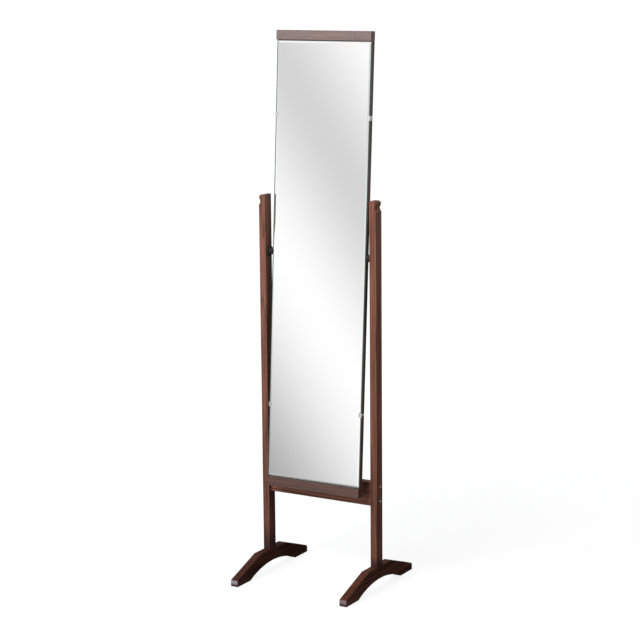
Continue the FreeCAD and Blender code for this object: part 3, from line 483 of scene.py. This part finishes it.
board, tree, principled, coordinates = start_material("hardboard", IOR=1.45)
mottle = noise(tree, coordinates["Object"], **MOTTLE)
fuzz = noise(tree, coordinates["Object"], **FUZZ)
smooth = place_group(tree, handling, Place=coordinates["Object"], Smears=0.6, Dust=0.8)
color = blend(tree, ramp(tree, mottle, *MOTTLE_FROM_TO), BOARD_DARK, BOARD_LIGHT)
color = blend(tree, maths(tree, "MULTIPLY", fuzz, FUZZ_COVER), color, BOARD_FUZZ)
roughness = scaled(tree, smooth["Dullness"], share=0.2, base=0.5)
finish_material(tree, principled, color, roughness, height=fuzz, depth=0.00012)
dress(board, "back_panel")
print("bare timber and hardboard made;", len(DRESSED), "nodes dressed")

# %% [markdown]
# ## The looking-glass
#
# A mirror is a sheet of clear glass with silver on its back, under a coat of grey paint. Most of what it shows is
# the silver, so from the front it can be made as smooth metal in silver's pale colour. Real glass over a silver
# back would take many more bounces of light for almost the same picture.
#
# From the side it is different: there one looks into the sheet, and glass edges are dark green. So one material
# tells three regions apart by the normal's share along the panel's own front direction: near one on the front and
# its bevels, near zero on the sides, and near minus one on the painted back. The silver also stops a little short
# of the sheet's outer rim, which therefore shows as a thin dark green line round the bevel.

# %% Make the looking-glass
SILVER, SMEARED_SILVER = (0.945, 0.945, 0.945, 1), (0.88, 0.88, 0.88, 1)
GREEN_DARK, GREEN_LIGHT = (0.010, 0.022, 0.019, 1), (0.026, 0.050, 0.043, 1)
PAINT_DARK, PAINT_LIGHT = (0.16, 0.17, 0.18, 1), (0.24, 0.25, 0.26, 1)
FRONT_FACING, BACK_FACING = (0.55, 0.75), (-0.5, -0.7)
SIDE_RIM, END_RIM, RIM_SOFTNESS = 0.0026, 0.0012, 1.5
SMEARS_WHITEN, SMEARS_DULL = 0.10, 0.015
PAINT_DULLNESS, RIM_DULLNESS = 0.55, 0.10
CLOUDS, RIPPLE = {"scale": 60.0, "detail": 2.0}, {"scale": 5.0, "detail": 1.0}
SIDEWAYS = (1, 0, 0)


def within(tree, place, axis, rim):
    """One where a place is further than a rim from the sheet's two edges across an axis, and zero on the rim."""
    half = np.abs((glass_places - glass_middle) @ np.array(axis)).max()
    away = maths(tree, "ABSOLUTE", vector_maths(tree, "DOT_PRODUCT", place, tuple(axis)))
    return ramp(tree, away, half - rim, half - RIM_SOFTNESS * rim)


glass, tree, principled, coordinates = start_material("looking_glass", IOR=1.52)
facing = vector_maths(tree, "DOT_PRODUCT", coordinates["Normal"], panel_front)
place = vector_maths(tree, "SUBTRACT", coordinates["Object"], tuple(glass_middle))
inside = maths(tree, "MULTIPLY", within(tree, place, SIDEWAYS, SIDE_RIM), within(tree, place, panel_up, END_RIM))
silvered = maths(tree, "MULTIPLY", ramp(tree, facing, *FRONT_FACING), inside)
painted = ramp(tree, facing, *BACK_FACING)
smooth = place_group(tree, handling, Place=coordinates["Object"], Smears=0.35, Dust=0.6)
cloudy = noise(tree, coordinates["Object"], **CLOUDS)
silver = blend(tree, maths(tree, "MULTIPLY", smooth["Dullness"], SMEARS_WHITEN), SILVER, SMEARED_SILVER)
color = blend(tree, silvered, blend(tree, cloudy, GREEN_DARK, GREEN_LIGHT), silver)
color = blend(tree, painted, color, blend(tree, cloudy, PAINT_DARK, PAINT_LIGHT))
rim_dullness = maths(tree, "MULTIPLY", maths(tree, "SUBTRACT", 1.0, silvered), RIM_DULLNESS)
front_dullness = maths(tree, "ADD", maths(tree, "MULTIPLY", smooth["Dullness"], SMEARS_DULL), rim_dullness)
roughness = maths(tree, "ADD", maths(tree, "MULTIPLY", painted, PAINT_DULLNESS), front_dullness)
ripple = noise(tree, coordinates["Object"], **RIPPLE)
finish_material(tree, principled, color, roughness, metallic=silvered, height=ripple, depth=0.00001)
dress(glass, "mirror_glass")
print("looking-glass made, silvered up to", 1000 * SIDE_RIM, "mm from its sides")

# %% [markdown]
# ## Metals
#
# Three finishes. The clips and their screws are bright nickel, stamped and tumbled: nearly mirror-smooth with faint
# scratches. The screws, bolts, washers and pivot pins are zinc-plated steel, greyer and duller, with a slight
# blue-yellow play of the plating. The inserts in the posts are turned brass. One function makes all three, because
# they differ only in colour, dullness and how far the colour plays.

# %% Make the metals
BARE_METAL, BARE_COVER = (0.9, 0.9, 0.9, 1), 0.4
SCRATCHES, SCRATCH_SQUEEZE = {"scale": 2600.0, "detail": 2.0, "roughness": 0.6}, (1, 0.08, 1)
PLAY = {"scale": 240.0, "detail": 3.0}
SMEARS_ON_METAL = 0.08


def metal(name, color, play, dullness, scratches):
    """A plated or turned metal: two colours that play across it, a dullness, and scratches that add to it."""
    material, tree, principled, coordinates = start_material(name, Metallic=1.0)
    smooth = place_group(tree, handling, Place=coordinates["Object"], Smears=0.5, Dust=0.4)
    rub = place_group(tree, edges, Normal=coordinates["Normal"], Place=coordinates["Object"], Amount=0.6)
    fine = noise(tree, vector_maths(tree, "MULTIPLY", coordinates["Object"], SCRATCH_SQUEEZE), **SCRATCHES)
    tint = blend(tree, noise(tree, coordinates["Object"], **PLAY), color, play)
    tint = blend(tree, maths(tree, "MULTIPLY", rub["Mask"], BARE_COVER), tint, BARE_METAL)
    roughness = maths(tree, "ADD", scaled(tree, fine, scratches, dullness),
                      maths(tree, "MULTIPLY", smooth["Dullness"], SMEARS_ON_METAL))
    finish_material(tree, principled, tint, roughness, height=fine, depth=0.000015)
    return material


nickel = metal("bright_nickel", (0.52, 0.51, 0.50, 1), (0.66, 0.66, 0.65, 1), dullness=0.16, scratches=0.14)
zinc = metal("zinc_plate", (0.50, 0.50, 0.52, 1), (0.58, 0.55, 0.48, 1), dullness=0.30, scratches=0.16)
brass = metal("turned_brass", (0.68, 0.48, 0.20, 1), (0.78, 0.60, 0.28, 1), dullness=0.22, scratches=0.18)
dress(nickel, "upper_left_clip", "upper_right_clip", "lower_left_clip", "lower_right_clip", "clip_screws")
dress(zinc, "crossbar_screws", "foot_bolts", "foot_washers", "left_pivot_pin", "right_pivot_pin", "back_panel_screws")
dress(brass, "post_inserts")
print("metals made;", len(DRESSED), "nodes dressed")

# %% [markdown]
# ## Black plastic
#
# The pivots turn in moulded bushes. Moulded nylon is never quite black or quite smooth: the mould leaves a fine even
# grain, edges shine where they rub, and dust settles on it here and there.

# %% Make the black plastic
NYLON, NYLON_DUSTY, NYLON_RUBBED = (0.010, 0.009, 0.009, 1), (0.060, 0.054, 0.049, 1), (0.030, 0.028, 0.027, 1)
MOULD_GRAIN, RUBBING_POLISHES = {"scale": 2400.0, "detail": 2.0, "roughness": 0.6}, 0.14

plastic, tree, principled, coordinates = start_material("black_nylon", IOR=1.53, Specular_IOR_Level=0.16)
grain = noise(tree, coordinates["Object"], **MOULD_GRAIN)
smooth = place_group(tree, handling, Place=coordinates["Object"], Smears=0.6, Dust=0.7)
rub = place_group(tree, edges, Normal=coordinates["Normal"], Place=coordinates["Object"], Amount=0.7)
color = blend(tree, smooth["Dust"], NYLON, NYLON_DUSTY)
color = blend(tree, rub["Mask"], color, NYLON_RUBBED)
roughness = maths(tree, "SUBTRACT", scaled(tree, grain, share=0.18, base=0.52),
                  maths(tree, "MULTIPLY", rub["Mask"], RUBBING_POLISHES))
finish_material(tree, principled, color, roughness, height=grain, depth=0.00004)
dress(plastic, "left_pivot_bush", "right_pivot_bush", "left_pivot_collar", "right_pivot_collar")
print("undressed nodes:", sorted(set(NODES) - DRESSED) or "none")

# %% [markdown]
# ## Surfaces of two parameters
#
# The last two meshes aren't parts of the mirror: a floor for it to stand on, and a curtain for the glass to show. A
# sheet-like shape can be written as a function of two parameters, u across it and v up it, that gives a point for
# each pair. Worked out on a whole grid at once, it is a few lines of array arithmetic. This helper turns any such
# function into a mesh, and lays a UV map of the same two parameters over it.

# %% A helper for surfaces
def surface_piece(name, across, up, place):
    """A mesh from a grid of two parameters: place(u, v) takes arrays from 0 to 1 and gives points (x, y, z).
    Each grid square becomes one four-sided face."""
    u, v = np.meshgrid(np.linspace(0, 1, across + 1), np.linspace(0, 1, up + 1))
    points = np.stack(place(u, v), axis=-1).reshape(-1, 3)
    first = (np.arange(up)[:, None] * (across + 1) + np.arange(across)).ravel()
    faces = np.stack([first, first + 1, first + across + 2, first + across + 1], axis=1)
    mesh = bpy.data.meshes.new(name)
    mesh.from_pydata(points.tolist(), [], faces.tolist())
    layer = mesh.uv_layers.new(name="across_and_up")
    corner_uv = np.stack([u.ravel(), v.ravel()], axis=1)[faces.ravel()]
    layer.data.foreach_set("uv", corner_uv.astype(np.float32).ravel())
    mesh.polygons.foreach_set("use_smooth", np.ones(len(faces), bool))
    piece = bpy.data.objects.new(name, mesh)
    bpy.context.scene.collection.objects.link(piece)
    return piece


print("surface helper ready")

# %% [markdown]
# ## The floor
#
# The mirror stands on a plain pale floor that runs out into white. A photographer gets this with a sheet of paper
# and a lot of light behind it. Here the floor has a light of its own, which only three kinds of ray see: direct
# ones, ones through glass, and glossy ones. For the first two it lifts the floor almost to white, a little less
# round the feet, so that the lamps still draw a soft shadow there.
#
# For glossy rays the floor is pale where the glass looks at it, in front, and dark beside and behind the mirror.
# Dark lacquer close to a bright floor turns milky, and black cloths laid just out of view are the usual cure.

# %% Lay the floor
WHITE, BLACK = (1, 1, 1, 1), (0, 0, 0, 1)
FLOOR_RADIUS = 60.0
FLOOR_GREY, SPECK_GREY = 0.16, 0.1632
SPECKLE = {"scale": 9.0, "detail": 3.0}
FLOOR_LIFT, LIFT_FROM_TO = (0.84, 0.96), (0.5, 3.0)
FLOOR_SHEEN, SHEEN_FROM_TO = (0.04, 0.90), (0.0, -0.80)


def grey(level):
    """A grey of one level, as a colour."""
    return (level, level, level, 1)


def ray_kinds(tree):
    """One for the rays that see the background directly or through glass, and one for glossy rays."""
    path = add(tree, "ShaderNodeLightPath").outputs
    return maths(tree, "MAXIMUM", path["Is Camera Ray"], path["Is Transmission Ray"]), path["Is Glossy Ray"]


def floor_place(u, v):
    """A flat square round the origin, at height zero: x goes with u, and y with v."""
    return (2 * u - 1) * FLOOR_RADIUS, (2 * v - 1) * FLOOR_RADIUS, 0 * u


floor = surface_piece("floor", 1, 1, floor_place)
paper, tree, principled, coordinates = start_material("floor_paper", IOR=1.3, Roughness=0.9, Emission_Color=WHITE)
color = blend(tree, noise(tree, coordinates["Object"], **SPECKLE), grey(FLOOR_GREY), grey(SPECK_GREY))
seen, mirrored = ray_kinds(tree)
finish_material(tree, principled, blend(tree, mirrored, color, BLACK))
away = vector_maths(tree, "LENGTH", coordinates["Object"])
lift = maths(tree, "MULTIPLY", seen, ramp(tree, away, *LIFT_FROM_TO, *FLOOR_LIFT))
forward = part_of(tree, coordinates["Object"], 1)
sheen = ramp(tree, forward, *SHEEN_FROM_TO, *FLOOR_SHEEN, smooth=False)
tree.links.new(scaled(tree, mirrored, sheen, lift), principled.inputs["Emission Strength"])
floor.data.materials.append(paper)
print("floor of", 2 * FLOOR_RADIUS, "metres laid")

# %% [markdown]
# ## The white beyond
#
# The world is what lies beyond the floor. It is white to the rays that see it directly, through glass or in gloss.
# To everything else it is a plain soft grey, so that it lights the mirror gently from all round.

# %% Set the world
WORLD_GREY = 0.17

world = bpy.data.worlds.new("studio")
world.use_nodes = True
bpy.context.scene.world = world
tree = world.node_tree
background = next(n for n in tree.nodes if n.type == "BACKGROUND")
plainly = maths(tree, "MAXIMUM", *ray_kinds(tree))
tree.links.new(blend(tree, plainly, grey(WORLD_GREY), WHITE), background.inputs["Color"])
print("the world lights at", WORLD_GREY)

# %% [markdown]
# ## Something for the glass to show
#
# A mirror has no look of its own: it shows the room. In an all-white room it would look like a white board. Product
# photographers hang pale cloth in front of such things, lit unevenly, so that soft grey bands cross the glass.
#
# Here that cloth is a round curtain, 1.6 metres from the mirror. A point on it is given by two parameters: how far
# round it is, and how high. Only glossy rays see it, so it lights nothing, casts no shadow and never gets into a
# picture directly.

# %% Hang the curtain
CURTAIN_RADIUS = 1.6
CURTAIN_HEIGHT = 3.4
CURTAIN_SWEEP = math.radians(360)


def curtain_place(u, v):
    """An upright ring: the angle goes with u, evenly to both sides of straight ahead, and the height with v."""
    angle = (u - 0.5) * CURTAIN_SWEEP
    return CURTAIN_RADIUS * np.sin(angle), -CURTAIN_RADIUS * np.cos(angle), CURTAIN_HEIGHT * v


curtain = surface_piece("curtain", 96, 1, curtain_place)
for ray in ("camera", "diffuse", "transmission", "volume_scatter", "shadow"):
    setattr(curtain, "visible_" + ray, False)
print("curtain hung at", CURTAIN_RADIUS, "metres, with", len(curtain.data.polygons), "faces")

# %% [markdown]
# ## The light on the curtain
#
# In front and to the left, the curtain's light is a smooth wave of the angle and the height added up, so its bands
# run slantwise. A repeating number from 0 to 1 counts along the wave, and a colour ramp says how bright each part of
# it is. Straight ahead and to the right the curtain is plain, paler towards the floor, and so is its top.
#
# Beside and behind the mirror it is dim, and dimmer lower down, because nothing but the dark posts would show it.

# %% Light the curtain
BANDS = ((0.0, 1.06), (0.2235, 0.70), (0.447, 1.055), (0.776, 0.41), (1.0, 1.06))
WAVES_ROUND, WAVES_UP, WAVES_START = 0.8501, 0.3667, 0.2384
BANDS_FROM = math.radians(-38)
PLAIN_FROM_TO = math.radians(-18), math.radians(-8)
PLAIN_LEVELS, PLAIN_HEIGHTS = (1.03, 0.72), (0.2, 1.5)
WHITE_HEIGHTS = 1.60, 1.82
FRONT_FROM_TO = math.radians(75), math.radians(115)
DIM_LEVELS, DIM_HEIGHTS = (0.02, 0.60), (0.3, 1.2)

cloth = bpy.data.materials.new("curtain_cloth")
cloth.use_nodes = True
tree = cloth.node_tree
tree.nodes.clear()
coordinates = add(tree, "ShaderNodeTexCoord").outputs
angle = maths(tree, "MULTIPLY", maths(tree, "SUBTRACT", part_of(tree, coordinates["UV"], 0), 0.5), CURTAIN_SWEEP)
above = part_of(tree, coordinates["Object"], 2)
waves = scaled(tree, maths(tree, "MAXIMUM", angle, BANDS_FROM), -WAVES_ROUND,
               scaled(tree, above, -WAVES_UP, WAVES_START))
bands = add(tree, "ShaderNodeValToRGB", {0: maths(tree, "WRAP", waves, 1.0, 0.0)})
bands.color_ramp.interpolation = "EASE"
while len(bands.color_ramp.elements) < len(BANDS):
    bands.color_ramp.elements.new(0.5)
for element, (stop, level) in zip(bands.color_ramp.elements, BANDS):
    element.position = stop
    element.color = grey(level)
plain = blend(tree, ramp(tree, above, *PLAIN_HEIGHTS), *map(grey, PLAIN_LEVELS))
shown = blend(tree, ramp(tree, angle, *PLAIN_FROM_TO), bands.outputs[0], plain)
shown = blend(tree, ramp(tree, above, *WHITE_HEIGHTS), shown, WHITE)
front = ramp(tree, maths(tree, "ABSOLUTE", angle), *FRONT_FROM_TO, 1.0, 0.0)
dim = ramp(tree, above, *DIM_HEIGHTS, *DIM_LEVELS)
level = maths(tree, "ADD", front, maths(tree, "MULTIPLY", maths(tree, "SUBTRACT", 1.0, front), dim))
glow = add(tree, "ShaderNodeEmission", {"Color": shown, "Strength": level})
tree.links.new(glow.outputs[0], add(tree, "ShaderNodeOutputMaterial").inputs["Surface"])
curtain.data.materials.append(cloth)
print("curtain lit in", len(BANDS), "stops, with", len(tree.nodes), "nodes")

# %% [markdown]
# ## Lamps
#
# Five soft lamps share the work, and none is strong. One stands high on the left, near the direction in which the
# two rails and the left post shine towards the viewer, so it gives them their silky sheen. One close in front keeps
# the upper halves of the posts warm. One near the floor reaches the crossbar from under the panel, one on the right
# draws the posts' outer faces, and one behind keeps the back from going black.
#
# Three of them are hidden from glossy rays. A lamp that only has to fill should not leave a hot spot in lacquer.

# %% Light the mirror
WARM = (1.0, 0.985, 0.97)
COOL = (0.96, 0.98, 1.0)


def soft_lamp(name, place, aim_height, size, watts, color, glossy=True):
    """A rectangular area lamp, wide and high as size says, at a place, turned towards a height on the Z axis."""
    data = bpy.data.lights.new(name, "AREA")
    data.shape = "RECTANGLE"
    data.size, data.size_y = size
    data.energy = watts
    data.color = color
    lamp = bpy.data.objects.new(name, data)
    lamp.visible_glossy = glossy
    bpy.context.scene.collection.objects.link(lamp)
    direction = Vector((0, 0, aim_height)) - Vector(place)
    lamp.matrix_world = Matrix.Translation(place) @ direction.to_track_quat("-Z", "Y").to_matrix().to_4x4()


soft_lamp("low_left_lamp", (-0.60, -2.10, 0.40), aim_height=0.34, size=(0.5, 0.3), watts=12, color=WARM, glossy=False)
soft_lamp("near_front_lamp", (-0.10, -1.30, 1.52), aim_height=1.3, size=(0.5, 0.5), watts=30, color=WARM, glossy=False)
soft_lamp("high_sheen_lamp", (-1.45, -1.9, 2.2), aim_height=1.3, size=(1.1, 0.6), watts=38, color=COOL)
soft_lamp("right_lamp", (1.65, -0.50, 1.35), aim_height=0.95, size=(0.6, 0.6), watts=14.5, color=COOL)
soft_lamp("back_lamp", (-0.9, 2.3, 1.6), aim_height=0.8, size=(1.0, 1.0), watts=30, color=COOL, glossy=False)

# %% [markdown]
# ## Finish
#
# The picture settings stay plain: the Standard view shows colours as they are.

# %% Finish
bpy.context.scene.view_settings.view_transform = "Standard"
